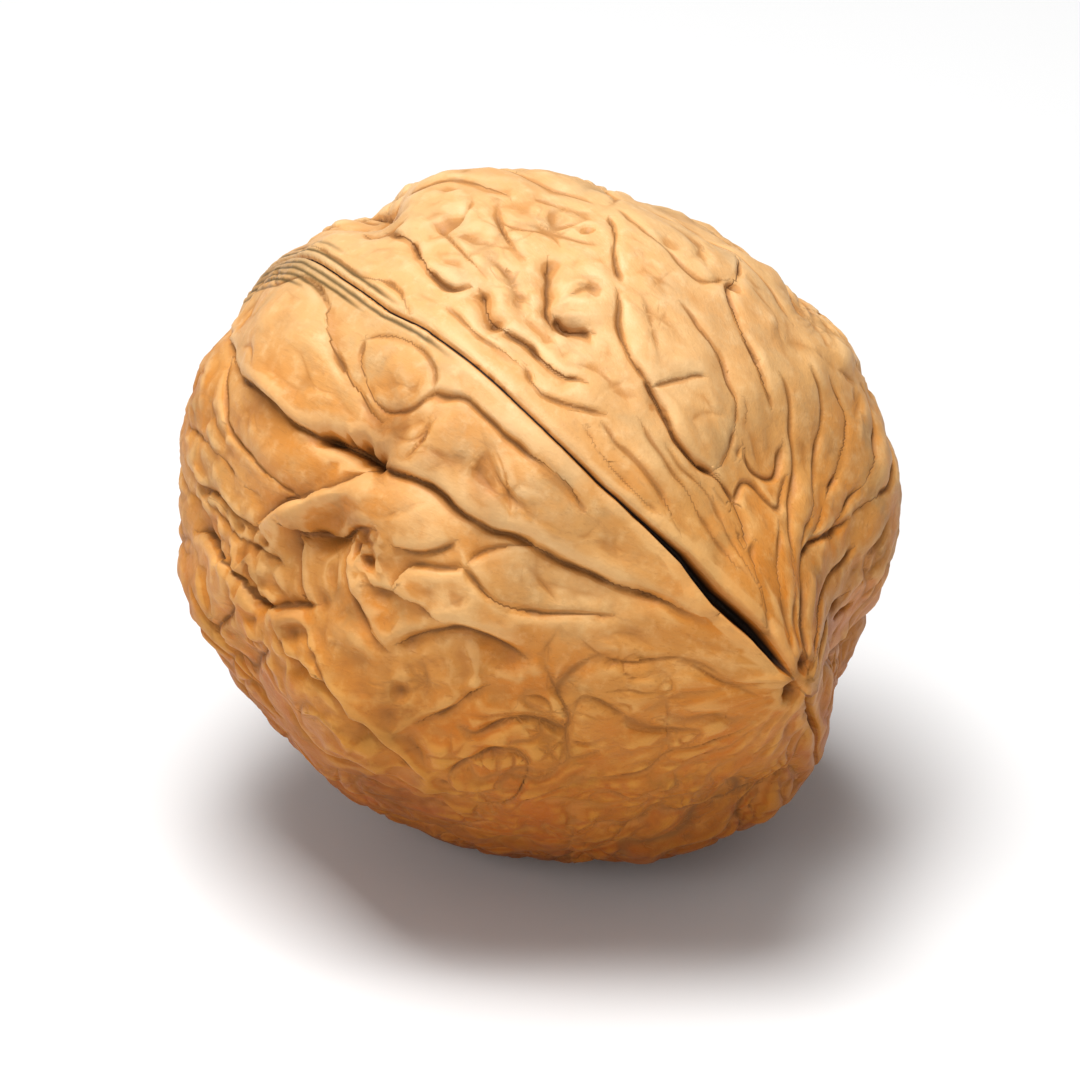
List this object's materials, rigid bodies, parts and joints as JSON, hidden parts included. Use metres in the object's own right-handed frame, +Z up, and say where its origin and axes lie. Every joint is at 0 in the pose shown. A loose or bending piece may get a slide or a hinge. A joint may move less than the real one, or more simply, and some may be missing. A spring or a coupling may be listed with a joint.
{
  "type": "walnut",
  "caption": "Whole walnut in its closed, creased and netted shell, with a seam round it that opens slightly beside the pointed tip, lying on its side on a small flat spot",
  "frame": {"origin": "on the surface the nut lies on, straight under the nut's middle, in the small flat spot that it rests on", "axes": "+Z is up; +X runs to the right of the picture, and the nut's longest side lies along it; +Y points away from the picture's viewer, who looks down from 27 degrees above the front; the tip points right, forwards and slightly down"},
  "size_m": [0.0382, 0.0371, 0.0374],
  "materials": {
    "shell": "dry, matt to slightly satin, light brown shell with dark brown creases"
  },
  "bodies": {
    "root": {"walnut": "shell"}
  },
  "joints": []
}
